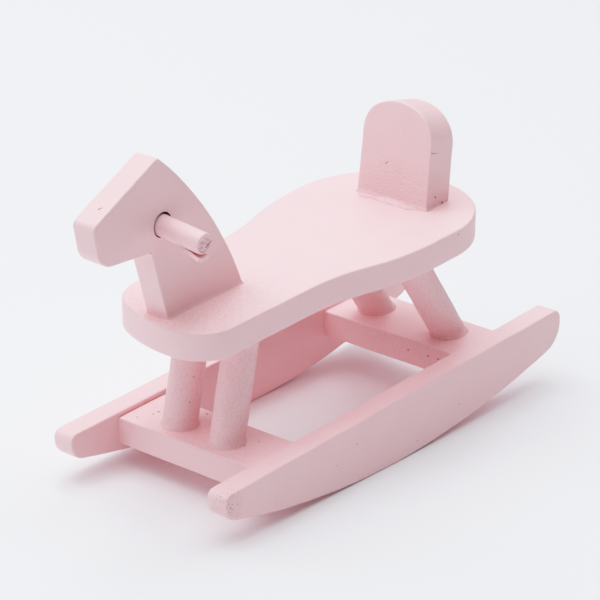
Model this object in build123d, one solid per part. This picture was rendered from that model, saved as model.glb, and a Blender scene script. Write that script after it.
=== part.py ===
from build123d import *
from math import cos, radians, sin, sqrt, tan
import os

# A dolls'-house rocking horse of painted wood: sawn boards and dowels, glued together.
# X runs forward to the head, Y to the horse's left, Z up from the floor. Sizes are in millimetres.
# While the pieces are laid out, X is counted from a mark near the middle of the rockers.

# Rockers: straight top, curved runner, rounded ends
rocker_front_reach = 44.8
rocker_rear_reach = 45.4
rocker_height = 11.5
rocker_thickness = 4.0
runner_low_point = -0.5
runner_front_lift = 7.25
runner_rear_lift = 5.3
rocker_front_top_round = 1.3
rocker_front_toe_round = 2.5
rocker_rear_top_round = 2.0
rocker_rear_toe_round = 4.6

# Cross boards between the rockers
cross_board_length = 28.5
cross_board_thickness = 4.8
cross_board_drop = 0.8
front_board_width = 11.2
front_board_setback = 16.7
rear_board_width = 12.2
rear_board_setback = 19.5

# Seat: askew bowed front, straight sides, flares, round rear lobe. Its left side flares sooner.
seat_height = 35.1
seat_thickness = 4.8
seat_front = 42.1
seat_front_left_reach = 12.0
seat_front_right_reach = 11.5
seat_front_bow_radius = 26.0
seat_front_bow_askew = 4.5
seat_left_corner = 7.0
seat_right_corner = 9.0
seat_left_flare_start = 17.0
seat_right_flare_start = 16.7
seat_left_lobe_side = 6.4
seat_rear = -33.0
seat_rear_width = 32.4

# Legs: raked dowels in blind sockets
leg_diameter = 5.8
front_leg_spacing = 10.0
front_leg_ahead_of_board = 1.0
front_leg_top = 24.7
rear_leg_spacing = 15.8
rear_leg_ahead_of_board = -0.6
rear_leg_top = -13.2
socket_floor = 1.2
glue_gap = 0.05

# Horse head: one sawn board standing on the seat
head_thickness = 4.4
head_heel = 21.4
head_toe = 39.5
throat_forward = 43.0
throat_height = 12.3
chin_forward = 54.3
chin_height = 13.3
nose_forward = 55.7
nose_height = 20.5
poll_forward = 41.1
poll_height = 27.4
neck_bulge = 2.05
throat_round = 0.6
chin_round = 3.4
nose_round = 1.2
poll_round = 0.9

# Handle: a dowel that sits askew in a loose hole through the head
handle_diameter = 3.5
handle_left_reach = 10.75
handle_right_reach = 9.85
handle_droop = 5.5
handle_behind_throat = 2.7
handle_above_throat = 4.0
handle_clearance = 0.05
handle_end_arris = 0.3

# Backrest: an arched board that leans back, its arch sawn sloping down to the rear
backrest_thickness = 6.3
backrest_foot_width = 14.8
backrest_top_width = 14.5
backrest_height = 17.5
backrest_crown_radius = 9.0
backrest_shoulder_round = 5.8
backrest_foot = -20.0
backrest_lean = 6.5
backrest_arch_slope = 7.0

# Arrises taken off with sandpaper
board_arris = 0.35
seat_arris = 0.45

# Levels and places that follow from the sizes above
seat_underside = seat_height - seat_thickness
seat_rear_middle = seat_rear + seat_rear_width / 2
cross_board_top = rocker_height - cross_board_drop
front_board_middle = rocker_front_reach - front_board_setback
rear_board_middle = rear_board_setback - rocker_rear_reach
rocker_middle_y = (cross_board_length + rocker_thickness) / 2
handle_x = throat_forward - handle_behind_throat
handle_z = seat_height + throat_height + handle_above_throat
handle_axis = Vector(0, cos(radians(handle_droop)), -sin(radians(handle_droop)))


def near(shape, x, y):
    # The corner of a flat outline nearest to a point of it
    return shape.vertices().sort_by_distance((x, y, 0))[0]


def upright_board(outline, thickness, middle_y):
    # A flat outline, drawn with X forward and Y up, stood up as a board across Y
    board = extrude(Plane.XZ * outline, thickness / 2, both=True)
    return Pos(0, middle_y, 0) * board


def side_arrises(board):
    # The edges that lie in the two broad sides of an upright board
    sides = board.faces().filter_by(Axis.Y).sort_by(Axis.Y)
    return sides[0].edges() + sides[-1].edges()


def make_rocker(middle_y):
    # The runner touches the floor at its low point and curves up to both ends
    low = (runner_low_point, 0)
    front_toe = (rocker_front_reach, runner_front_lift)
    rear_toe = (-rocker_rear_reach, runner_rear_lift)
    front_top = (rocker_front_reach, rocker_height)
    rear_top = (-rocker_rear_reach, rocker_height)
    edge = Polyline(rear_toe, rear_top, front_top, front_toe).edges()
    edge += TangentArc(low, front_toe, tangent=(1, 0)).edges()
    edge += TangentArc(low, rear_toe, tangent=(-1, 0)).edges()
    outline = make_face(edge)
    corners = (
        (front_top, rocker_front_top_round),
        (front_toe, rocker_front_toe_round),
        (rear_top, rocker_rear_top_round),
        (rear_toe, rocker_rear_toe_round),
    )
    for corner, radius in corners:
        outline = fillet(near(outline, *corner), radius)
    board = upright_board(outline, rocker_thickness, middle_y)
    return chamfer(side_arrises(board), board_arris)


def make_leg_axis(board_middle, ahead, top_x, y):
    # Where a leg's centre line crosses the cross board's top and the seat's underside
    foot = Vector(board_middle + ahead, y, cross_board_top)
    top = Vector(top_x, y, seat_underside)
    return foot, top


def socket_depth(board_thickness, direction):
    # Depth along the leg that leaves the socket's floor of wood under the raked end
    rise = leg_diameter / 2 * sqrt(1 - direction.Z**2)
    return (board_thickness - socket_floor - rise) / direction.Z


def leg_ends(foot, top):
    direction = (top - foot).normalized()
    low = foot - direction * socket_depth(cross_board_thickness, direction)
    high = top + direction * socket_depth(seat_thickness, direction)
    return low, high, direction


def rod(start, end, radius):
    axis = end - start
    place = Plane(origin=start, z_dir=axis)
    return place * Cylinder(radius, axis.length, align=(Align.CENTER, Align.CENTER, Align.MIN))


def make_leg(foot, top):
    low, high, direction = leg_ends(foot, top)
    return rod(low + direction * glue_gap, high - direction * glue_gap, leg_diameter / 2)


def make_socket_drill(foot, top):
    # The round hole that takes both ends of a leg, one straight drill from board to seat
    low, high, direction = leg_ends(foot, top)
    return rod(low, high, leg_diameter / 2 + glue_gap)


def make_cross_board(middle, width, drills):
    place = Pos(middle, 0, cross_board_top - cross_board_thickness / 2)
    board = place * Box(width, cross_board_length, cross_board_thickness)
    board = chamfer(board.edges().filter_by(Axis.Y), board_arris)
    return board - drills


def bow_forward(y):
    # How far forward the seat's bowed front reaches at a place across it
    across = y - seat_front_bow_askew
    return seat_front - seat_front_bow_radius + sqrt(seat_front_bow_radius**2 - across**2)


def seat_side(corner, flare_start, flare_end):
    # Straight back from a front corner, then out to the rear lobe in two arcs
    start = (flare_start, corner[1])
    middle = ((start[0] + flare_end[0]) / 2, (start[1] + flare_end[1]) / 2)
    edge = Line(corner, start).edges()
    edge += TangentArc(start, middle, tangent=(-1, 0)).edges()
    edge += TangentArc(flare_end, middle, tangent=(1, 0)).edges()
    return edge


def make_seat(drills):
    left_corner = (bow_forward(seat_front_left_reach), seat_front_left_reach)
    right_corner = (bow_forward(-seat_front_right_reach), -seat_front_right_reach)
    lobe_left = (seat_rear_middle, seat_rear_width / 2)
    lobe_right = (seat_rear_middle, -seat_rear_width / 2)
    left_flare_end = (seat_rear_middle + seat_left_lobe_side, seat_rear_width / 2)
    edge = ThreePointArc(right_corner, (seat_front, seat_front_bow_askew), left_corner).edges()
    edge += seat_side(left_corner, seat_left_flare_start, left_flare_end)
    edge += Line(left_flare_end, lobe_left).edges()
    edge += ThreePointArc(lobe_left, (seat_rear, 0), lobe_right).edges()
    edge += seat_side(right_corner, seat_right_flare_start, lobe_right)
    outline = make_face(edge)
    outline = fillet(near(outline, *left_corner), seat_left_corner)
    outline = fillet(near(outline, *right_corner), seat_right_corner)
    board = Pos(0, 0, seat_underside) * extrude(outline, seat_thickness)
    flats = board.faces().filter_by(Axis.Z)
    board = chamfer(flats[0].edges() + flats[-1].edges(), seat_arris)
    return board - drills


def make_head():
    heel = (head_heel, 0)
    toe = (head_toe, 0)
    throat = (throat_forward, throat_height)
    chin = (chin_forward, chin_height)
    nose = (nose_forward, nose_height)
    poll = (poll_forward, poll_height)
    edge = Polyline(heel, toe, throat, chin, nose, poll).edges()
    edge += SagittaArc(poll, heel, -neck_bulge).edges()
    outline = make_face(edge)
    corners = ((throat, throat_round), (chin, chin_round), (nose, nose_round), (poll, poll_round))
    for corner, radius in corners:
        outline = fillet(near(outline, *corner), radius)
    board = Pos(0, 0, seat_height) * upright_board(outline, head_thickness, 0)
    arrises = side_arrises(board).filter_by(lambda e: e.center().Z > seat_height + board_arris)
    board = chamfer(arrises, board_arris)
    # The hole is as wide as the drooping dowel needs in the head's thickness
    lean = radians(handle_droop)
    hole_diameter = handle_diameter / cos(lean) + head_thickness * tan(lean) + 2 * handle_clearance
    hole = Pos(handle_x, 0, handle_z) * Rot(90, 0, 0) * Cylinder(hole_diameter / 2, 2 * head_thickness)
    return board - hole


def make_handle():
    middle = Vector(handle_x, 0, handle_z)
    right_end = middle - handle_axis * handle_right_reach
    left_end = middle + handle_axis * handle_left_reach
    dowel = rod(right_end, left_end, handle_diameter / 2)
    return chamfer(dowel.edges().filter_by(GeomType.CIRCLE), handle_end_arris)


def make_backrest():
    top_half = backrest_top_width / 2
    foot_half = backrest_foot_width / 2
    crown_drop = backrest_crown_radius - sqrt(backrest_crown_radius**2 - top_half**2)
    left_top = (top_half, backrest_height - crown_drop)
    right_top = (-top_half, backrest_height - crown_drop)
    buried = backrest_thickness
    edge = Polyline(left_top, (foot_half, 0), (foot_half, -buried)).edges()
    edge += Polyline(right_top, (-foot_half, 0), (-foot_half, -buried)).edges()
    edge += Line((-foot_half, -buried), (foot_half, -buried)).edges()
    edge += ThreePointArc(left_top, (0, backrest_height), right_top).edges()
    outline = make_face(edge)
    for corner in (left_top, right_top):
        outline = fillet(near(outline, *corner), backrest_shoulder_round)
    # The front face leans back from its foot on the seat
    lean = radians(backrest_lean)
    front = Plane((backrest_foot, 0, seat_height), x_dir=(0, 1, 0), z_dir=(cos(lean), 0, sin(lean)))
    rearward = radians(backrest_lean + backrest_arch_slope)
    reach = backrest_thickness / cos(radians(backrest_arch_slope))
    board = extrude(front * outline, reach, dir=(-cos(rearward), 0, -sin(rearward)))
    broad = board.faces().sort_by(SortBy.AREA)[-2:]
    arrises = broad[0].edges() + broad[1].edges()
    arrises = arrises.filter_by(lambda e: e.center().Z > seat_height)
    board = chamfer(arrises, board_arris)
    seat_top = Plane.XY.offset(seat_height)
    return split(board, bisect_by=seat_top, keep=Keep.TOP)


leg_places = {
    "front_left_leg": (front_board_middle, front_leg_ahead_of_board, front_leg_top, front_leg_spacing / 2),
    "front_right_leg": (front_board_middle, front_leg_ahead_of_board, front_leg_top, -front_leg_spacing / 2),
    "rear_left_leg": (rear_board_middle, rear_leg_ahead_of_board, rear_leg_top, rear_leg_spacing / 2),
    "rear_right_leg": (rear_board_middle, rear_leg_ahead_of_board, rear_leg_top, -rear_leg_spacing / 2),
}
leg_axes = {name: make_leg_axis(*place) for name, place in leg_places.items()}
drills = [make_socket_drill(*axis) for axis in leg_axes.values()]

pieces = {
    "left_rocker": make_rocker(rocker_middle_y),
    "right_rocker": make_rocker(-rocker_middle_y),
    "front_cross_board": make_cross_board(front_board_middle, front_board_width, drills),
    "rear_cross_board": make_cross_board(rear_board_middle, rear_board_width, drills),
    "seat": make_seat(drills),
    "horse_head": make_head(),
    "handle": make_handle(),
    "backrest": make_backrest(),
}
for name, axis in leg_axes.items():
    pieces[name] = make_leg(*axis)

# The origin is on the floor, under the middle of the whole horse
boxes = [piece.bounding_box() for piece in pieces.values()]
rear_end = min(box.min.X for box in boxes)
front_end = max(box.max.X for box in boxes)
to_origin = Pos(-(rear_end + front_end) / 2, 0, 0)

os.makedirs("parts", exist_ok=True)
for name, piece in pieces.items():
    export_step(to_origin * piece, f"parts/{name}.step")
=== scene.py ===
import math
import bpy
import bmesh
from mathutils import Matrix, Vector, noise


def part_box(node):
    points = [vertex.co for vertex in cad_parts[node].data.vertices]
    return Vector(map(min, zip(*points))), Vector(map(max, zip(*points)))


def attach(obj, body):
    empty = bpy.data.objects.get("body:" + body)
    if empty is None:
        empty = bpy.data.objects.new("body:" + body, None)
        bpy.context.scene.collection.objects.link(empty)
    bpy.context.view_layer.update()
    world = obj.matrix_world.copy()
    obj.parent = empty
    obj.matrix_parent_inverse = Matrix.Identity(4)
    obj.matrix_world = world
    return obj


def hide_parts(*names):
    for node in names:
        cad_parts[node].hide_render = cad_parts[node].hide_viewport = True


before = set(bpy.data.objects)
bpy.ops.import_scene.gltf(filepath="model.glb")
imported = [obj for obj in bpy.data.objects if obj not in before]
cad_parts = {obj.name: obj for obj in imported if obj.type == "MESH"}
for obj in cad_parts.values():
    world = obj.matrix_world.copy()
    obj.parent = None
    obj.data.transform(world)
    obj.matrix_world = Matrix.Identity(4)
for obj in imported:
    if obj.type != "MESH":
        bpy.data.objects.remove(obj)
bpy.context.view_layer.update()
print("frame loaded, nodes:", len(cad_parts))
noiseSeed = 3
noise.seed_set(noiseSeed)  # the same unevenness in every run

# Pieces are modelled in millimetres, x counted from a mark near the middle of the rockers
mm = 0.001
rockerFront = 44.8
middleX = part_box("left_rocker")[1].x - rockerFront * mm
toFrame = Matrix.Translation((middleX, 0, 0)) @ Matrix.Scale(mm, 4)
standUp = Matrix.Rotation(math.radians(90), 4, "X")  # a board drawn flat, stood on edge across y


def boxMm(node):
    low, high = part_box(node)
    shift = Vector((middleX, 0, 0))
    return (low - shift) / mm, (high - shift) / mm


seatLow, seatHigh = boxMm("seat")
seatTop = seatHigh.z


# Finishes

paint = {
    "pale": (0.965, 0.628, 0.640, 1),
    "deep": (0.955, 0.608, 0.620, 1),
    "toneBand": (0.35, 0.65),
    # Pinholes are darkened towards this colour, painted shade inside them
    "pinholeShade": (0.70, 0.39, 0.41, 1),
    "pinholeBand": (0.42, 0.72),
    "sheenBand": (0.40, 0.60),
    "sheenLevel": 0.75,
    # Noise, as ripples to the metre and detail
    "toneNoise": (160, 4),
    "pinholeRipples": (3000, 2),
    "peelNoise": (2800, 2),
    "grainDetail": 3,
    "nibScale": 800,
    "nibShare": 0.16,
    "nibBand": (0.22, 0.02),
    # Depths in metres
    "grainDepth": 0.000035,
    "peelDepth": 0.000025,
    "nibDepth": 0.00010,
    "pinholeDepth": 0.00010,
    # A rough patch is full to this share of its reach, and this much of it is left outside
    "patchCore": 0.5,
    "patchOutside": 0.12,
    # Painted shade: darker tones that stand in for the shade deep in the drilled hole, in the handle's torn
    # slits over the torn wood's own colour, and inside the pits
    "holeShadeTone": (0.13, 0.055, 0.052, 1),
    "tornWoodAndShadeTone": (0.52, 0.26, 0.24, 1),
    "pitShadeTone": (0.50, 0.28, 0.29, 1),
    "plainRoughness": 0.9,
}
mixFirst, mixSecond, mixResult = 6, 7, 2  # colour sockets of a mix, by number since their names repeat


def wire(tree, source, output, target, entry):
    tree.links.new(source.outputs[output], target.inputs[entry])


def addNode(tree, kind, **values):
    node = tree.nodes.new(kind)
    for key, value in values.items():
        if key in node.inputs:
            node.inputs[key].default_value = value
        else:
            setattr(node, key, value)
    return node


def addNoise(tree, source, output, scale, detail):
    texture = addNode(tree, "ShaderNodeTexNoise", Scale=scale, Detail=detail)
    wire(tree, source, output, texture, "Vector")
    return texture


def addRange(tree, source, output, band, result, steps="SMOOTHSTEP"):
    # Spreads a band of values over a result
    spread = addNode(tree, "ShaderNodeMapRange", interpolation_type=steps)
    for entry, value in zip(("From Min", "From Max", "To Min", "To Max"), (*band, *result)):
        spread.inputs[entry].default_value = value
    wire(tree, source, output, spread, "Value")
    return spread


def addProduct(tree, source, output):
    # The value itself, until a second one is wired in
    product = addNode(tree, "ShaderNodeMath", operation="MULTIPLY")
    product.inputs[1].default_value = 1
    wire(tree, source, output, product, 0)
    return product


def addBump(tree, height, output, depth, below):
    bump = addNode(tree, "ShaderNodeBump", Strength=1.0, Distance=depth)
    wire(tree, height, output, bump, "Height")
    if below:
        wire(tree, below, "Normal", bump, "Normal")
    return bump


def addPatch(tree, coords, middle, reach, rise):
    # Heights count more than lengths where a patch keeps to the top of a board
    centre = toFrame @ Vector(middle)
    flat = addNode(tree, "ShaderNodeMapping", Scale=(1, 1, rise))
    wire(tree, coords, "Object", flat, "Vector")
    away = addNode(tree, "ShaderNodeVectorMath", operation="DISTANCE")
    away.inputs[1].default_value = (centre.x, centre.y, centre.z * rise)
    wire(tree, flat, "Vector", away, 0)
    edge = reach * mm
    return addRange(tree, away, "Value", (edge, edge * paint["patchCore"]), (paint["patchOutside"], 1))


def pinkPaint(name, grain, pinholeShare, roughAt=None, roughReach=0, roughRise=1, grainRise=1):
    # Brushed satin paint over sanded wood: grain, orange peel, dust nibs and pinholes.
    # Pinholes may keep to a rough patch, and so does a grain that stands higher than usual.
    mat = bpy.data.materials.new(name)
    mat.use_nodes = True
    tree = mat.node_tree
    shader = tree.nodes["Principled BSDF"]
    coords = addNode(tree, "ShaderNodeTexCoord")

    tone = addNoise(tree, coords, "Object", *paint["toneNoise"])
    ramp = addNode(tree, "ShaderNodeValToRGB")
    for stop, place, pink in zip(ramp.color_ramp.elements, paint["toneBand"], ("deep", "pale")):
        stop.position = place
        stop.color = paint[pink]
    wire(tree, tone, "Fac", ramp, "Fac")

    pinholeNoise = addNoise(tree, coords, "Object", *paint["pinholeRipples"])
    holes = addRange(tree, pinholeNoise, "Fac", paint["pinholeBand"], (0, pinholeShare))
    pinholes = addProduct(tree, holes, "Result")
    fibre = addNode(tree, "ShaderNodeMapping", Scale=grain)
    wire(tree, coords, "Object", fibre, "Vector")
    grainLines = addNoise(tree, fibre, "Vector", 1, paint["grainDetail"])
    ridges = addProduct(tree, grainLines, "Fac")
    if roughAt:
        patch = addPatch(tree, coords, roughAt, roughReach, roughRise)
        wire(tree, patch, "Result", pinholes, 1)
        if grainRise > 1:
            wire(tree, patch, "Result", ridges, 1)

    # The pinholes are darkened in colour as well as sunk: painted shade inside them
    colour = addNode(tree, "ShaderNodeMix", data_type="RGBA")
    colour.inputs[mixSecond].default_value = paint["pinholeShade"]
    wire(tree, pinholes, "Value", colour, 0)
    wire(tree, ramp, "Color", colour, mixFirst)
    wire(tree, colour, mixResult, shader, "Base Color")
    sheen = addRange(tree, tone, "Fac", (0, 1), paint["sheenBand"], "LINEAR")
    wire(tree, sheen, "Result", shader, "Roughness")
    shader.inputs["Specular IOR Level"].default_value = paint["sheenLevel"]

    bump = addBump(tree, ridges, "Value", paint["grainDepth"] * grainRise, None)
    peel = addNoise(tree, coords, "Object", *paint["peelNoise"])
    bump = addBump(tree, peel, "Fac", paint["peelDepth"], bump)

    # A nib stands in a small share of the cells
    cells = addNode(tree, "ShaderNodeTexVoronoi", Scale=paint["nibScale"])
    wire(tree, coords, "Object", cells, "Vector")
    dome = addRange(tree, cells, "Distance", paint["nibBand"], (0, 1))
    chosen = addNode(tree, "ShaderNodeMath", operation="LESS_THAN")
    chosen.inputs[1].default_value = paint["nibShare"]
    wire(tree, cells, "Color", chosen, 0)
    nibs = addProduct(tree, dome, "Result")
    wire(tree, chosen, "Value", nibs, 1)
    bump = addBump(tree, nibs, "Value", paint["nibDepth"], bump)

    bump = addBump(tree, pinholes, "Value", paint["pinholeDepth"], bump)
    bump.invert = True
    wire(tree, bump, "Normal", shader, "Normal")
    return mat


def plainFinish(name, colour, roughness=paint["plainRoughness"]):
    mat = bpy.data.materials.new(name)
    mat.use_nodes = True
    shader = mat.node_tree.nodes["Principled BSDF"]
    shader.inputs["Base Color"].default_value = colour
    shader.inputs["Roughness"].default_value = roughness
    return mat


# Ripples of the grain to the metre, along x, y and z
grainAlong = (90, 1300, 1300)
grainAcross = (1300, 90, 1300)
grainUpright = (1300, 1300, 90)
grainTorn = (3000, 1600, 3000)
rockerPaint = pinkPaint("rocker_paint", grainAlong, pinholeShare=0.6, roughAt=(44.0, 18.2, 9.2), roughReach=4)
seatPaint = pinkPaint("seat_paint", grainAlong, pinholeShare=0.45,
                      roughAt=(32.0, 2.0, seatTop), roughReach=17, roughRise=30)
headPaint = pinkPaint("head_paint", grainUpright, pinholeShare=0.04)
backrestPaint = pinkPaint("backrest_paint", grainTorn, pinholeShare=0.16,
                          roughAt=(-20.0, 1.5, seatTop), roughReach=11, grainRise=6)
boardPaint = pinkPaint("board_paint", grainAcross, pinholeShare=0.4,
                       roughAt=(28.0, 0.0, 10.7), roughReach=18, roughRise=30)
rearBoardPaint = pinkPaint("rear_board_paint", grainAcross, pinholeShare=0.25,
                           roughAt=(-23.0, 4.0, 10.7), roughReach=16, roughRise=2)
legPaint = pinkPaint("leg_paint", grainUpright, pinholeShare=0.3)
handlePaint = pinkPaint("handle_paint", grainAcross, pinholeShare=0.06)
# Darker finishes, painted shade for the drilled hole, the torn slits and the pits
holeShade = plainFinish("hole_shade", paint["holeShadeTone"])
tornWoodAndShade = plainFinish("torn_wood_and_shade", paint["tornWoodAndShadeTone"])
pitShade = plainFinish("pit_shade", paint["pitShadeTone"])
print("paint mixed")


# Ways of working, shared by the pieces

work = {
    "cornerSteps": 6,
    "arrisSteps": 4,
    "broadFace": 0.99,  # least share of a broad face's normal along z
    "cutTolerance": 0.0001,
    "seedShift": (17.3, 5.1, 9.7),
    "pitRagged": 0.3,
    "pitRipple": 2.5,
    "swellCuts": (0.2, 0.42, 0.67, 1),
    "sharpAngle": 38,
}


def drawOutline(stops, rounds, steps):
    # Stops run anticlockwise as (x, y, bow), where bow is how far the run to the next stop swells out
    bm = bmesh.new()
    corners = [bm.verts.new((x, y, 0)) for x, y, bow in stops]
    for here, (x, y, bow) in enumerate(stops):
        start = corners[here]
        end = corners[(here + 1) % len(corners)]
        if bow == 0:
            bm.edges.new((start, end))
            continue
        chord = end.co - start.co
        half = chord.length / 2
        radius = (half**2 + bow**2) / (2 * bow)
        outwards = Vector((chord.y, -chord.x, 0)).normalized()
        centre = (start.co + end.co) / 2 + outwards * (bow - radius)
        turn = 2 * math.asin(max(-1, min(1, half / radius)))
        swept = bmesh.ops.spin(bm, geom=[start], cent=centre, axis=(0, 0, 1), angle=turn, steps=steps)
        last = [v for v in swept["geom_last"] if isinstance(v, bmesh.types.BMVert)][0]
        bmesh.ops.weld_verts(bm, targetmap={last: end})
    bmesh.ops.edgeloop_fill(bm, edges=bm.edges[:])
    for corner, radius in zip(corners, rounds):
        if radius:
            runs = [edge.other_vert(corner).co - corner.co for edge in corner.link_edges]
            setback = radius / math.tan(runs[0].angle(runs[1]) / 2)
            bmesh.ops.bevel(bm, geom=[corner], offset=setback, offset_type="OFFSET", affect="VERTICES",
                            segments=work["cornerSteps"], profile=0.5, material=-1)
    return bm


def roundCorner(crown, crownRadius, side, radius):
    # Where the arc of a corner leaves the straight side, and where it runs into the crowned end
    across = side - math.copysign(radius, side)
    along = crown[1] + math.sqrt((crownRadius - radius)**2 - (across - crown[0])**2)
    middle = Vector((across, along))
    return Vector((side, along)), middle + (middle - Vector(crown)).normalized() * radius


def bowBetween(start, end, radius):
    return radius - math.sqrt(radius**2 - (end - start).length_squared / 4)


def levelArc(run, rise):
    # Radius of an arc that starts level
    return (run**2 + rise**2) / (2 * rise)


def thicken(bm, thickness):
    grown = bmesh.ops.extrude_face_region(bm, geom=bm.faces[:])
    lifted = [v for v in grown["geom"] if isinstance(v, bmesh.types.BMVert)]
    bmesh.ops.translate(bm, verts=lifted, vec=(0, 0, thickness))
    bmesh.ops.recalc_face_normals(bm, faces=bm.faces[:])


def roundEdges(bm, edges, width):
    bmesh.ops.bevel(bm, geom=edges, offset=width, offset_type="OFFSET", affect="EDGES",
                    segments=work["arrisSteps"], profile=0.5, material=-1)


def softenArrises(bm, width, gluedBelow=None):
    # Rounds the edges of the two broad faces, leaving those at a glued foot
    arrises = []
    for edge in bm.edges:
        broad = [face for face in edge.link_faces if abs(face.normal.z) > work["broadFace"]]
        middle = (edge.verts[0].co + edge.verts[1].co) / 2
        if len(broad) == 1 and (gluedBelow is None or middle.y > gluedBelow):
            arrises.append(edge)
    roundEdges(bm, arrises, width)


def cutAcross(bm, place, normal):
    bmesh.ops.bisect_plane(bm, geom=bm.verts[:] + bm.edges[:] + bm.faces[:], dist=work["cutTolerance"],
                           plane_co=place, plane_no=normal)


def cutCells(bm, spacing, axes=(0, 1)):
    for axis in axes:
        normal = Vector((0, 0, 0))
        normal[axis] = 1
        low = min(v.co[axis] for v in bm.verts)
        high = max(v.co[axis] for v in bm.verts)
        count = int((high - low) / spacing)
        for cut in range(1, count):
            cutAcross(bm, normal * (low + (high - low) * cut / count), normal)


def sandByHand(bm, depth, reach, seed):
    # Slight unevenness of sanded, brushed wood
    shift = Vector([seed * step for step in work["seedShift"]])
    for vert in bm.verts:
        vert.co += noise.noise_vector(vert.co / reach + shift) * depth


def gatherPaint(bm, middle, half, rise, reach):
    # Paint and glue gather round the foot of a board that stands on the seat
    for share in work["swellCuts"]:
        cutAcross(bm, (0, rise * share, 0), (0, 1, 0))
    for vert in bm.verts:
        if vert.co.y < rise:
            swell = reach * (1 - max(0, vert.co.y) / rise)**2
            vert.co.x += swell * (vert.co.x - middle[0]) / half[0]
            vert.co.z += swell * (vert.co.z - middle[1]) / half[1]


def makePiece(name, bm, place, finish, body, node=None):
    bmesh.ops.transform(bm, matrix=toFrame @ place, verts=bm.verts[:])
    mesh = bpy.data.meshes.new(name)
    bm.to_mesh(mesh)
    bm.free()
    mesh.materials.append(finish)
    piece = bpy.data.objects.new(name, mesh)
    bpy.context.scene.collection.objects.link(piece)
    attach(piece, body)
    if node:
        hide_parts(node)
    return piece


def cutAway(piece, bm, finish):
    # Takes the shape in bm, in millimetres, out of a piece and leaves a finish there
    bmesh.ops.transform(bm, matrix=toFrame, verts=bm.verts[:])
    mesh = bpy.data.meshes.new("cutter")
    bm.to_mesh(mesh)
    bm.free()
    mesh.materials.append(finish)
    cutter = bpy.data.objects.new("cutter", mesh)
    bpy.context.scene.collection.objects.link(cutter)
    cut = piece.modifiers.new("cut", "BOOLEAN")
    cut.operation = "DIFFERENCE"
    cut.solver = "EXACT"
    cut.use_self = True
    cut.material_mode = "TRANSFER"
    cut.object = cutter
    graph = bpy.context.evaluated_depsgraph_get()
    result = bpy.data.meshes.new_from_object(piece.evaluated_get(graph))
    piece.modifiers.remove(cut)
    piece.data = result
    bpy.data.objects.remove(cutter)


def pit(piece, pits, finish=pitShade):
    # Each pit is (x, y, z, radius): a ragged little hollow centred on the surface. Its walls take a darker
    # finish, painted shade for the pit's depth.
    bm = bmesh.new()
    for x, y, z, radius in pits:
        ball = bmesh.ops.create_icosphere(bm, subdivisions=2, radius=radius,
                                          matrix=Matrix.Translation((x, y, z)))
        for vert in ball["verts"]:
            ripple = noise.noise_vector(vert.co * work["pitRipple"] / radius)
            vert.co += ripple * radius * work["pitRagged"]
    cutAway(piece, bm, finish)


def pitRow(start, end, count):
    # Pits in a line make a slit; start and end are (x, y, z, radius)
    return [tuple(Vector(start).lerp(Vector(end), step / (count - 1))) for step in range(count)]


def shade(piece):
    piece.data.shade_smooth()
    piece.data.set_sharp_from_angle(angle=math.radians(work["sharpAngle"]))
    even = piece.modifiers.new("even_shading", "WEIGHTED_NORMAL")
    even.keep_sharp = True


# Rockers

rocker = {
    # The runners were cut by eye: where each is lowest, along and up, and how high its ends are
    "lowPoint": {"left_rocker": (-2.5, 0), "right_rocker": (-4.0, 0.5)},
    "frontLift": 7.25,
    "rearLift": {"left_rocker": 5.3, "right_rocker": 6.8},
    "frontTopRound": 1.3,
    "frontToeRound": {"left_rocker": 3.0, "right_rocker": 3.4},
    "rearTopRound": 2.0,
    "rearToeRound": 4.6,
    "arris": 0.3,
    "steps": 12,
    "cells": 2.2,
    "sanded": (0.05, 6),
    "pits": [(44.2, 18.2, 10.1, 0.12), (43.8, 18.25, 9.3, 0.14), (44.5, 18.0, 9.5, 0.13),
             (43.3, 18.25, 9.7, 0.1), (43.9, 18.25, 8.5, 0.1), (44.3, 18.2, 8.9, 0.12),
             (43.5, 18.25, 8.8, 0.09), (12.3, 18.25, 7.8, 0.14), (17.4, 18.25, 5.9, 0.12),
             (-4.0, 18.25, 1.9, 0.12), (-15.7, 18.25, 4.2, 0.13)],
}


def makeRocker(name, node, seed):
    low, high = boxMm(node)
    front, rear, top = high.x, low.x, high.z
    middle = Vector(rocker["lowPoint"][node])
    rearToe, frontToe = rocker["rearToeRound"], rocker["frontToeRound"][node]
    rearArc = levelArc(middle.x - rear, rocker["rearLift"][node] - middle.y)
    frontArc = levelArc(front - middle.x, rocker["frontLift"] - middle.y)
    # Height counts downwards while the toes are worked out
    rearEnd, rearRun = roundCorner((middle.x, -rearArc - middle.y), rearArc, rear, rearToe)
    frontEnd, frontRun = roundCorner((middle.x, -frontArc - middle.y), frontArc, front, frontToe)
    lowest = Vector((middle.x, -middle.y))
    stops = [
        (rear, -rearEnd.y, bowBetween(rearEnd, rearRun, rearToe)),
        (rearRun.x, -rearRun.y, bowBetween(rearRun, lowest, rearArc)),
        (middle.x, middle.y, bowBetween(lowest, frontRun, frontArc)),
        (frontRun.x, -frontRun.y, bowBetween(frontRun, frontEnd, frontToe)),
        (front, -frontEnd.y, 0),
        (front, top, 0),
        (rear, top, 0),
    ]
    rounds = [0, 0, 0, 0, 0, rocker["frontTopRound"], rocker["rearTopRound"]]
    bm = drawOutline(stops, rounds, rocker["steps"])
    thicken(bm, high.y - low.y)
    softenArrises(bm, rocker["arris"])
    cutCells(bm, rocker["cells"])
    sandByHand(bm, *rocker["sanded"], seed)
    place = Matrix.Translation((0, high.y, 0)) @ standUp
    return makePiece(name, bm, place, rockerPaint, "horse", node)


leftRocker = makeRocker("rocker_left", "left_rocker", seed=1)
pit(leftRocker, rocker["pits"])
shade(leftRocker)
rightRocker = makeRocker("rocker_right", "right_rocker", seed=2)
shade(rightRocker)
print("rockers cut")


# Cross boards

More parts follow.
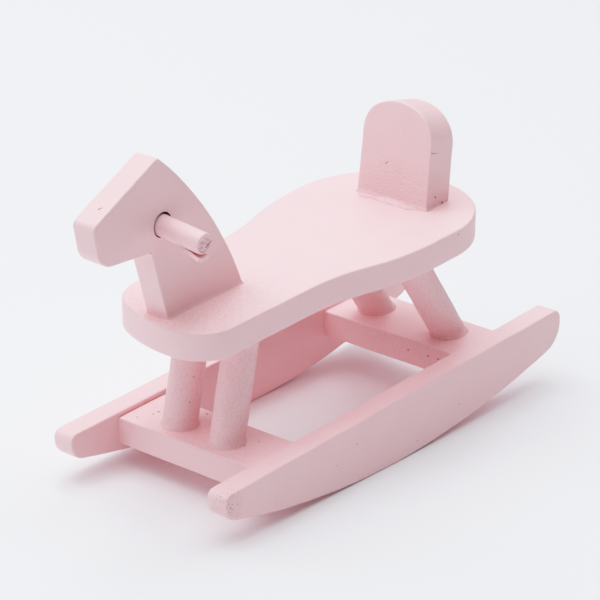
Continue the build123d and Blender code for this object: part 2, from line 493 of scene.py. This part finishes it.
crossBoard = {
    "arris": 0.3,
    "cells": 1.6,
    "sanded": (0.05, 4),
    "frontPits": [(29.3, -10.6, 10.7, 0.18), (28.2, -10.4, 10.7, 0.2), (31.8, -11.9, 10.7, 0.16),
                  (23.8, -3.8, 10.7, 0.2), (28.6, 8.2, 10.7, 0.22), (26.0, 9.0, 10.7, 0.15)],
    # The paint has cracked along the joint with the right rocker; the dark line of the crack is painted
    # shade, from the pits' darker finish
    "crack": {"start": (33.6, -14.2, 10.65, 0.12), "end": (22.6, -14.2, 10.7, 0.18), "count": 75},
    "rearPits": [(-19.8, 4.2, 8.6, 0.2), (-19.8, 8.5, 8.7, 0.22), (-19.8, 10.6, 8.8, 0.18)],
}


def makeCrossBoard(name, node, finish, seed):
    low, high = boxMm(node)
    bm = bmesh.new()
    bmesh.ops.create_cube(bm, size=1, matrix=Matrix.Diagonal((*(high - low), 1)))
    level = [edge for edge in bm.edges if edge.verts[0].co.z == edge.verts[1].co.z]
    roundEdges(bm, level, crossBoard["arris"])
    cutCells(bm, crossBoard["cells"])
    sandByHand(bm, *crossBoard["sanded"], seed)
    return makePiece(name, bm, Matrix.Translation((low + high) / 2), finish, "horse", node)


frontBoard = makeCrossBoard("cross_board_front", "front_cross_board", boardPaint, seed=3)
pit(frontBoard, crossBoard["frontPits"] + pitRow(**crossBoard["crack"]))
shade(frontBoard)
rearBoard = makeCrossBoard("cross_board_rear", "rear_cross_board", rearBoardPaint, seed=4)
pit(rearBoard, crossBoard["rearPits"])
shade(rearBoard)
print("cross boards cut")


# Seat

seat = {
    "frontLeft": 12.0,
    "frontRight": 11.5,
    "frontBowRadius": 26.0,
    "frontBowAskew": 4.5,
    "leftCorner": 7.0,
    "rightCorner": 9.0,
    "leftFlare": 17.0,
    "rightFlare": 16.7,
    "leftLobeSide": 6.4,
    "arris": 0.35,
    "steps": 30,
    "cells": 2.2,
    "sanded": (0.05, 7),
    "seed": 5,
    "pits": [(40.9, 0.5, 32.2, 0.22), (41.0, 0.3, 31.6, 0.16), (-17.1, 16.2, 34.3, 0.16),
             (35.2, 6.6, 35.1, 0.1), (32.9, 8.2, 35.1, 0.08), (30.4, 6.2, 35.1, 0.1),
             (-27.5, 9.0, 35.1, 0.1)],
}


def flareBow(start, end):
    # Two equal arcs make a flare: where they meet, and how far each swells
    middle = (start + end) / 2
    run = middle - start
    return middle, bowBetween(start, middle, levelArc(abs(run.x), abs(run.y)))


def makeSeat():
    rearHalf = seatHigh.y
    rearMiddle = seatLow.x + rearHalf
    bowRadius = seat["frontBowRadius"]
    crown = (seat["frontBowAskew"], seatHigh.x - bowRadius)
    rightSide, rightFront = roundCorner(crown, bowRadius, -seat["frontRight"], seat["rightCorner"])
    leftSide, leftFront = roundCorner(crown, bowRadius, seat["frontLeft"], seat["leftCorner"])
    rightLobe = Vector((rearMiddle, -rearHalf))
    rightFlare = Vector((seat["rightFlare"], -seat["frontRight"]))
    rightMiddle, rightBow = flareBow(rightLobe, rightFlare)
    leftFlare = Vector((seat["leftFlare"], seat["frontLeft"]))
    leftLobe = Vector((rearMiddle + seat["leftLobeSide"], rearHalf))
    leftMiddle, leftBow = flareBow(leftFlare, leftLobe)
    stops = [
        (*rightLobe, rightBow),
        (*rightMiddle, -rightBow),
        (*rightFlare, 0),
        (rightSide.y, rightSide.x, bowBetween(rightSide, rightFront, seat["rightCorner"])),
        (rightFront.y, rightFront.x, bowBetween(rightFront, leftFront, bowRadius)),
        (leftFront.y, leftFront.x, bowBetween(leftFront, leftSide, seat["leftCorner"])),
        (leftSide.y, leftSide.x, 0),
        (*leftFlare, -leftBow),
        (*leftMiddle, leftBow),
        (*leftLobe, 0),
        (rearMiddle, rearHalf, rearHalf),
    ]
    bm = drawOutline(stops, [0] * len(stops), seat["steps"])
    thicken(bm, seatHigh.z - seatLow.z)
    softenArrises(bm, seat["arris"])
    cutCells(bm, seat["cells"])
    sandByHand(bm, *seat["sanded"], seat["seed"])
    return makePiece("seat_board", bm, Matrix.Translation((0, 0, seatLow.z)), seatPaint, "horse", "seat")


seatBoard = makeSeat()
pit(seatBoard, seat["pits"])
shade(seatBoard)
print("seat cut")


# Legs

legs = {
    # Where the dowels' centre lines cross the top of the cross boards and the seat's underside
    "foot": {"front": 29.1, "rear": -26.5},
    "top": {"front": 24.7, "rear": -13.2},
    "boardTop": 10.7,
    "sunk": 2.3,
    "diameter": 5.8,
    "segments": 40,
    "cells": 0.3,
    "sanded": (0.07, 3.5),
    "firstSeed": 6,
    # How high and how far paint and glue gather round the ends
    "footSwell": (0.8, 0.3),
    "topSwell": (0.5, 0.2),
    "pits": {
        "front_left_leg": [],
        "front_right_leg": [(28.5, -2.4, 19.6, 0.14), (29.45, -2.5, 15.5, 0.14)],
        "rear_left_leg": [(-17.5, 9.6, 21.0, 0.16)],
        "rear_right_leg": [],
    },
}


def makeLeg(name, node, foot, top, seed):
    low, high = boxMm(node)
    y = (low.y + high.y) / 2
    start = Vector((foot, y, legs["boardTop"]))
    end = Vector((top, y, seatLow.z))
    radius = legs["diameter"] / 2
    bm = bmesh.new()
    bmesh.ops.create_cone(bm, cap_ends=True, segments=legs["segments"], radius1=radius, radius2=radius,
                          depth=(end - start).length + 2 * legs["sunk"])
    cutCells(bm, legs["cells"], (2,))
    sandByHand(bm, *legs["sanded"], seed)
    turn = (end - start).normalized().to_track_quat("Z", "X").to_matrix().to_4x4()
    place = Matrix.Translation((start + end) / 2) @ turn
    for vert in bm.verts:
        height = (place @ vert.co).z
        gaps = (height - start.z, end.z - height)
        for gap, (rise, reach) in zip(gaps, (legs["footSwell"], legs["topSwell"])):
            swell = reach * max(0, 1 - max(0, gap) / rise)**2
            vert.co.xy *= 1 + 2 * swell / legs["diameter"]
    return makePiece(name, bm, place, legPaint, "horse", node)


for seed, (node, pits) in enumerate(legs["pits"].items(), legs["firstSeed"]):
    end, side, _ = node.split("_")
    leg = makeLeg("leg_" + end + "_" + side, node, legs["foot"][end], legs["top"][end], seed)
    if pits:
        pit(leg, pits)
    shade(leg)
print("legs turned")


# Horse head, with a hole for the handle

head = {
    "heel": 21.4,
    "toe": 39.5,
    "throat": (43.0, 12.3),
    "chin": (54.3, 13.3),
    "nose": (55.7, 20.5),
    "poll": (41.1, 27.4),
    "neckBow": 2.05,
    "rounds": [0, 0, 0.6, 3.4, 1.2, 0.9],
    "arris": 0.28,
    "steps": 16,
    "cells": 1.6,
    "sunk": 0.15,
    "gluedBelow": 0.1,
    "footSwell": (0.6, 0.25),
    "sanded": (0.06, 5),
    "seed": 12,
    "holeBehindThroat": 2.7,
    "holeAboveThroat": 4.0,
    "holeDiameter": 4.12,
    "holeDroop": 2.7,
    "drillLength": 20,
    "drillSegments": 48,
    "pits": [(52.3, 0.3, 57.3, 0.2), (52.0, 0.5, 57.4, 0.15), (43.2, 2.2, 47.4, 0.18),
             (38.0, 2.0, 53.5, 0.13)],
    "throatNick": {"start": (43.7, 2.2, 47.6, 0.07), "end": (42.95, 2.2, 47.35, 0.11), "count": 5},
}
holeX = head["throat"][0] - head["holeBehindThroat"]
holeZ = seatTop + head["throat"][1] + head["holeAboveThroat"]
holeMiddle = Matrix.Translation((holeX, 0, holeZ))


def turnLeft(droop):
    # Lays a rod along y, its local z drooping to the left
    return Matrix.Rotation(math.radians(-90 - droop), 4, "X")


def makeHead():
    low, high = boxMm("horse_head")
    stops = [(head["heel"], -head["sunk"], 0), (head["toe"], -head["sunk"], 0)]
    stops += [(*head[corner], 0) for corner in ("throat", "chin", "nose")]
    stops += [(*head["poll"], head["neckBow"])]
    bm = drawOutline(stops, head["rounds"], head["steps"])
    thicken(bm, high.y - low.y)
    softenArrises(bm, head["arris"], head["gluedBelow"])
    cutCells(bm, head["cells"])
    middle = ((head["heel"] + head["toe"]) / 2, (high.y - low.y) / 2)
    gatherPaint(bm, middle, ((head["toe"] - head["heel"]) / 2, middle[1]), *head["footSwell"])
    sandByHand(bm, *head["sanded"], head["seed"])
    place = Matrix.Translation((0, high.y, seatTop)) @ standUp
    return makePiece("head_board", bm, place, headPaint, "horse", "horse_head")


def makeDrill():
    radius = head["holeDiameter"] / 2
    bm = bmesh.new()
    bmesh.ops.create_cone(bm, cap_ends=True, segments=head["drillSegments"], radius1=radius, radius2=radius,
                          depth=head["drillLength"], matrix=holeMiddle @ turnLeft(head["holeDroop"]))
    return bm


headBoard = makeHead()
# The hole's wall takes a near-black finish: painted shade deep in the hole
cutAway(headBoard, makeDrill(), holeShade)
pit(headBoard, head["pits"] + pitRow(**head["throatNick"]))
shade(headBoard)
print("head cut and drilled")


# Handle, a dowel with torn ends

handle = {
    "droop": 5.5,
    "diameter": 3.5,
    "segments": 48,
    "leftReach": 10.75,
    "rightReach": 9.85,
    "arris": 0.3,
    "cells": 1.0,
    "sanded": (0.05, 3),
    "seed": 14,
    # The sawn ends are torn inside a rim of paint
    "tornRings": (0.2, 0.25, 0.25, 0.25, 0.2),
    "paintRim": 0.45,
    "tornDepth": 0.42,
    "tornShare": 0.4,
    "tornRipple": 2.6,
    "tornShift": 4,
    "endTolerance": 0.01,
    # Slits torn in the near end, as (forward, down, out, radius)
    "slits": [
        [{"start": (0.15, 0.68, -0.02, 0.09), "end": (-0.6, 0.47, -0.02, 0.2), "count": 6},
         {"start": (-0.6, 0.47, -0.02, 0.2), "end": (-1.5, -0.1, -0.02, 0.1), "count": 8}],
        [{"start": (0.85, -0.5, 0, 0.1), "end": (0.15, -0.48, 0, 0.14), "count": 6}],
    ],
}
handleLine = holeMiddle @ turnLeft(handle["droop"])
nearEnd = handleLine @ Matrix.Translation((0, 0, handle["leftReach"]))


def makeHandle():
    radius = handle["diameter"] / 2
    half = (handle["leftReach"] + handle["rightReach"]) / 2
    bm = bmesh.new()
    bmesh.ops.create_cone(bm, cap_ends=True, segments=handle["segments"], radius1=radius, radius2=radius,
                          depth=2 * half)
    ends = [face for face in bm.faces if abs(face.normal.z) > work["broadFace"]]
    roundEdges(bm, [edge for face in ends for edge in face.edges], handle["arris"])
    for sign in (1, -1):
        end = max(bm.faces, key=lambda face: sign * face.calc_center_median().z)
        for width in handle["tornRings"]:
            bmesh.ops.inset_region(bm, faces=[end], thickness=width, use_even_offset=True)
        for vert in bm.verts:
            atEnd = sign * vert.co.z > half - handle["endTolerance"]
            if atEnd and math.hypot(vert.co.x, vert.co.y) < radius - handle["paintRim"]:
                ripple = vert.co * handle["tornRipple"] + Vector((sign * handle["tornShift"], 0, 0))
                vert.co.z -= sign * handle["tornDepth"] * (handle["tornShare"] + noise.noise(ripple))
    cutCells(bm, handle["cells"], (2,))
    sandByHand(bm, *handle["sanded"], handle["seed"])
    place = handleLine @ Matrix.Translation((0, 0, handle["leftReach"] - half))
    return makePiece("handle_dowel", bm, place, handlePaint, "handle", "handle")


handleDowel = makeHandle()
# The slits take a dark finish: the torn wood's own colour, darkened further as painted shade in the slits
for slit in handle["slits"]:
    tears = [tear for run in slit for tear in pitRow(**run)]
    pit(handleDowel, [(*(nearEnd @ Vector(tear[:3])), tear[3]) for tear in tears], tornWoodAndShade)
shade(handleDowel)

splinter = {
    "length": 4.3,
    "pastEnd": 0.35,
    "thickness": 0.55,
    "fromAngle": 40,
    "toAngle": -35,
    "rootWidth": 0.35,
    "rootInset": 0.05,
    "lift": 0.6,
    "curl": 1.4,
    "cells": (8, 18),
    "sanded": (0.05, 0.8),
    "seed": 15,
}


def makeSplinter():
    # A sliver of the dowel's skin, still fast at its root, that curls away below the near end
    across, lengthways = splinter["cells"]
    bm = bmesh.new()
    bmesh.ops.create_grid(bm, x_segments=across, y_segments=lengthways, size=0.5)
    radius = handle["diameter"] / 2
    first, last = math.radians(splinter["fromAngle"]), math.radians(splinter["toAngle"])
    outwards = Vector((math.sin(first), math.cos(first), 0))
    for vert in bm.verts:
        along = vert.co.y + 0.5
        width = splinter["rootWidth"] + (1 - splinter["rootWidth"]) * math.sqrt(along)
        angle = first + (last - first) * (vert.co.x + 0.5) * width
        skin = Vector((math.sin(angle), math.cos(angle), 0)) * (radius - splinter["rootInset"] * (1 - along))
        skin.z = splinter["pastEnd"] - splinter["length"] * (1 - along)
        vert.co = skin + outwards * splinter["lift"] * along**splinter["curl"]
    bmesh.ops.recalc_face_normals(bm, faces=bm.faces[:])
    if sum(face.normal.dot(outwards) for face in bm.faces) < 0:
        bmesh.ops.reverse_faces(bm, faces=bm.faces[:])
    bmesh.ops.solidify(bm, geom=bm.faces[:], thickness=-splinter["thickness"])
    bmesh.ops.recalc_face_normals(bm, faces=bm.faces[:])
    sandByHand(bm, *splinter["sanded"], splinter["seed"])
    return makePiece("handle_splinter", bm, nearEnd, handlePaint, "handle")


handleSplinter = makeSplinter()
shade(handleSplinter)
print("handle fitted")


# Backrest

backrest = {
    "thickness": 6.3,
    "footWidth": 14.8,
    "topWidth": 14.5,
    "height": 17.5,
    "archSlope": 7.0,
    "crownRadius": 9.0,
    "shoulderRound": 5.8,
    "foot": -20.0,
    "lean": 6.5,
    "sunk": 1.2,
    "gluedBelow": 0.1,
    "arris": 0.3,
    "steps": 12,
    "cells": 1.6,
    "footSwell": (0.9, 0.35),
    "sanded": (0.06, 5),
    "seed": 16,
    "pits": [(-20.35, 1.9, 38.6, 0.13), (-20.5, 5.1, 40.3, 0.1), (-20.3, 4.9, 38.0, 0.1),
             (-21.4, 1.5, 48.1, 0.1), (-22.4, 7.35, 37.1, 0.18), (-22.6, 7.35, 36.8, 0.16),
             (-24.4, 7.65, 35.3, 0.44), (-25.0, 7.65, 35.4, 0.2)],
    "faceSlit": {"start": (-20.65, -1.85, 41.3, 0.15), "end": (-20.72, -1.4, 41.75, 0.11), "count": 4},
    "edgeSlit": {"start": (-20.9, 7.25, 45.3, 0.1), "end": (-24.1, 7.2, 44.4, 0.04), "count": 24},
}


def makeBackrest():
    topHalf = backrest["topWidth"] / 2
    footHalf = backrest["footWidth"] / 2
    thickness = backrest["thickness"]
    crownRadius = backrest["crownRadius"]
    shoulder = backrest["shoulderRound"]
    crown = (0, backrest["height"] - crownRadius)
    leftSide, leftTop = roundCorner(crown, crownRadius, topHalf, shoulder)
    rightSide, rightTop = roundCorner(crown, crownRadius, -topHalf, shoulder)
    stops = [
        (-footHalf, -backrest["sunk"], 0),
        (footHalf, -backrest["sunk"], 0),
        (*leftSide, bowBetween(leftSide, leftTop, shoulder)),
        (*leftTop, bowBetween(leftTop, rightTop, crownRadius)),
        (*rightTop, bowBetween(rightTop, rightSide, shoulder)),
        (*rightSide, 0),
    ]
    bm = drawOutline(stops, [0] * len(stops), backrest["steps"])
    thicken(bm, thickness)
    softenArrises(bm, backrest["arris"], backrest["gluedBelow"])
    cutCells(bm, backrest["cells"])
    gatherPaint(bm, (0, thickness / 2), (footHalf, thickness / 2), *backrest["footSwell"])
    sandByHand(bm, *backrest["sanded"], backrest["seed"])
    # The arch is sawn sloping down to the rear
    slope = math.tan(math.radians(backrest["archSlope"]))
    for vert in bm.verts:
        vert.co.y -= slope * (thickness - vert.co.z)
    # Local x across to the left, y up the face, z out of the front face
    upright = Matrix(((0, 0, 1, 0), (1, 0, 0, 0), (0, 1, 0, 0), (0, 0, 0, 1)))
    tilt = Matrix.Rotation(math.radians(-backrest["lean"]), 4, "Y")
    place = Matrix.Translation((backrest["foot"], 0, seatTop)) @ tilt @ upright
    place = place @ Matrix.Translation((0, 0, -thickness))
    return makePiece("backrest_board", bm, place, backrestPaint, "horse", "backrest")


backrestBoard = makeBackrest()
slits = pitRow(**backrest["faceSlit"]) + pitRow(**backrest["edgeSlit"])
pit(backrestBoard, backrest["pits"] + slits)
shade(backrestBoard)

glue = {
    "from": -7.5,
    "to": 7.4,
    "cells": (20, 90),
    "tapers": (0.12, 0.22),  # share of the length in which each end dies away
    "reach": 1.6,
    "reachShare": 0.85,
    "reachRagged": (0.35, 4),  # how much, and ripples in the length
    "height": 0.7,
    "heightRagged": (0.25, 9),
    "crest": (0.53, 0.17),  # where along the foot it climbs highest, and how far that reaches
    "leastClimb": 0.22,
    "hollow": 1.5,
    "lip": 0.36,
    "lipRound": 0.12,
    "lumps": (0.12, 20, 4),  # how high, and ripples along and out
    "noiseRows": (1.7, 5.2, 3.1),
    "tucked": 0.3,
    "bedded": 0.06,
    "under": 0.6,
    "pits": [(-19.9, -2.4, 35.38, 0.17), (-19.9, -1.3, 35.5, 0.15), (-19.9, 4.0, 35.33, 0.17)],
}


def shapeGlue(out, along):
    # Place of a point of the bead, given as shares of its reach and of its length
    heightRow, reachRow, lumpRow = glue["noiseRows"]
    ends = min(1, along / glue["tapers"][0], (1 - along) / glue["tapers"][1])
    climb = math.exp(-((along - glue["crest"][0]) / glue["crest"][1])**2)
    share, ripples = glue["heightRagged"]
    ragged = 1 + share * noise.noise(Vector((along * ripples, heightRow, 0)))
    height = glue["height"] * (glue["leastClimb"] + (1 - glue["leastClimb"]) * climb) * ragged * ends
    share, ripples = glue["reachRagged"]
    ragged = glue["reachShare"] + share * noise.noise(Vector((along * ripples, reachRow, 0)))
    reach = glue["reach"] * ragged * ends
    lip = glue["lip"] * ends * min(1, (1 - out) / glue["lipRound"])**0.5
    tall, ripplesAlong, ripplesOut = glue["lumps"]
    lump = noise.noise(Vector((along * ripplesAlong, out * ripplesOut, lumpRow))) * tall * ends
    x = backrest["foot"] - glue["tucked"] + out * (glue["tucked"] + reach)
    y = glue["from"] + along * (glue["to"] - glue["from"])
    z = seatTop - glue["bedded"] + lip + (height - glue["lip"] * ends) * (1 - out)**glue["hollow"]
    return x, y, z + lump * (1 - out)


def makeGlueBead():
    # Squeezed-out glue under the paint, along the backrest's front foot
    across, lengthways = glue["cells"]
    bm = bmesh.new()
    bmesh.ops.create_grid(bm, x_segments=across, y_segments=lengthways, size=0.5)
    for vert in bm.verts:
        vert.co = shapeGlue(vert.co.x + 0.5, vert.co.y + 0.5)
    thicken(bm, -glue["under"])
    return makePiece("backrest_glue", bm, Matrix.Identity(4), backrestPaint, "horse")


glueBead = makeGlueBead()
pit(glueBead, glue["pits"])
shade(glueBead)
print("backrest glued on")


# Studio

studio = {
    "floorSize": 5.0,
    "restTilt": 2.6,  # the horse rests a little nose down, so the floor rises to the front of the frame
    "floorTone": (0.888, 0.913, 0.93, 1),
    "floorRoughness": 0.85,
    "skyTone": (0.985, 0.985, 0.985, 1),
    "skyStrength": 0.165,
    # Bright tones ease off as they do in the photograph
    "whiteLevel": 1.6,
    "shoulder": [(0.125, 0.2), (0.25, 0.4), (0.375, 0.574), (0.5, 0.705), (0.625, 0.803), (0.75, 0.877),
                 (1, 0.974)],
    "bounces": 12,  # pale paint passes light on many times
    "aim": (0, 0, 0.03),
    "lightTone": (0.981, 1.0, 1.052),
    # name: place, width, power
    "softLights": {
        "overhead": ((0, 0, 1.1), 1.8, 9.9),
        "overhead_middle": ((0, 0, 1.0), 0.5, 0.9),
        "key": ((0.22, -0.28, 0.95), 0.35, 1.1),
        "near_key": ((0.28, 0.23, 1.0), 0.4, 0.5),
        "rear_key": ((-0.28, -0.22, 0.95), 0.35, 1.3),
        "behind": ((-0.9, -0.74, 0.75), 0.8, 2.5),
        "front": ((0.78, -0.3, 0.7), 0.8, 1.75),
        "far_side": ((0.3, -0.9, 0.5), 0.8, 1.0),
        "far_high": ((0.2, -0.8, 0.95), 0.9, 2.4),
        "rear": ((-0.8, 0.25, 0.9), 0.8, 1.2),
    },
}


def makeFloor():
    # The floor touches each runner where it has the floor's slope, and leans with the two heights
    tilt = math.radians(studio["restTilt"])
    sides = []
    levels = []
    for node, (x, z) in rocker["lowPoint"].items():
        low, high = boxMm(node)
        radius = levelArc(rockerFront - x, rocker["frontLift"] - z)
        sides.append((low.y + high.y) / 2)
        levels.append(z + radius * (1 - math.cos(tilt)) - math.tan(tilt) * (x + radius * math.sin(tilt)))
    left, right = sides
    roll = math.atan((levels[0] - levels[1]) / (left - right))
    level = Vector((0, 0, (levels[0] * -right + levels[1] * left) / (left - right)))
    turn = Matrix.Rotation(-tilt, 4, "Y") @ Matrix.Rotation(roll, 4, "X")
    bm = bmesh.new()
    bmesh.ops.create_grid(bm, x_segments=1, y_segments=1, size=studio["floorSize"] / 2,
                          matrix=Matrix.Translation(toFrame @ level) @ turn)
    mesh = bpy.data.meshes.new("floor")
    bm.to_mesh(mesh)
    bm.free()
    mesh.materials.append(plainFinish("pale_floor", studio["floorTone"], studio["floorRoughness"]))
    floor = bpy.data.objects.new("floor", mesh)
    bpy.context.scene.collection.objects.link(floor)


def addSoftLight(name, place, width, power):
    light = bpy.data.lights.new(name, "AREA")
    light.shape = "DISK"
    light.size = width
    light.energy = power
    light.color = studio["lightTone"]
    lamp = bpy.data.objects.new(name, light)
    lamp.location = place
    lamp.rotation_euler = (Vector(studio["aim"]) - Vector(place)).to_track_quat("-Z", "Y").to_euler()
    bpy.context.scene.collection.objects.link(lamp)


def addSky():
    world = bpy.data.worlds.new("studio")
    world.use_nodes = True
    sky = world.node_tree.nodes["Background"]
    sky.inputs["Color"].default_value = studio["skyTone"]
    sky.inputs["Strength"].default_value = studio["skyStrength"]
    bpy.context.scene.world = world


def easeBrightTones():
    view = bpy.context.scene.view_settings
    view.view_transform = "Standard"
    view.use_curve_mapping = True
    view.curve_mapping.white_level = [studio["whiteLevel"]] * 3
    allColours = view.curve_mapping.curves[3]
    for stop in studio["shoulder"][:-1]:
        allColours.points.new(*stop)
    allColours.points[-1].location = studio["shoulder"][-1]
    view.curve_mapping.update()


makeFloor()
for name, setting in studio["softLights"].items():
    addSoftLight(name, *setting)
addSky()
easeBrightTones()
bpy.context.scene.cycles.diffuse_bounces = studio["bounces"]

shot = {
    "aim": (-0.0006, 0, 0.0254),
    "azimuth": 39.16,
    "elevation": 24.5,
    "distance": 0.4942,
    "lens": 180,
    "sensor": 36,
    "nearest": 0.01,
}


def addCamera():
    azimuth = math.radians(shot["azimuth"])
    elevation = math.radians(shot["elevation"])
    towards = Vector((math.cos(azimuth) * math.cos(elevation), math.sin(azimuth) * math.cos(elevation),
                      math.sin(elevation)))
    lens = bpy.data.cameras.new("camera")
    lens.lens = shot["lens"]
    lens.sensor_width = shot["sensor"]
    lens.clip_start = shot["nearest"]
    camera = bpy.data.objects.new("camera", lens)
    camera.location = Vector(shot["aim"]) + towards * shot["distance"]
    camera.rotation_euler = (-towards).to_track_quat("-Z", "Y").to_euler()
    bpy.context.scene.collection.objects.link(camera)
    bpy.context.scene.camera = camera


addCamera()
print("studio lit")
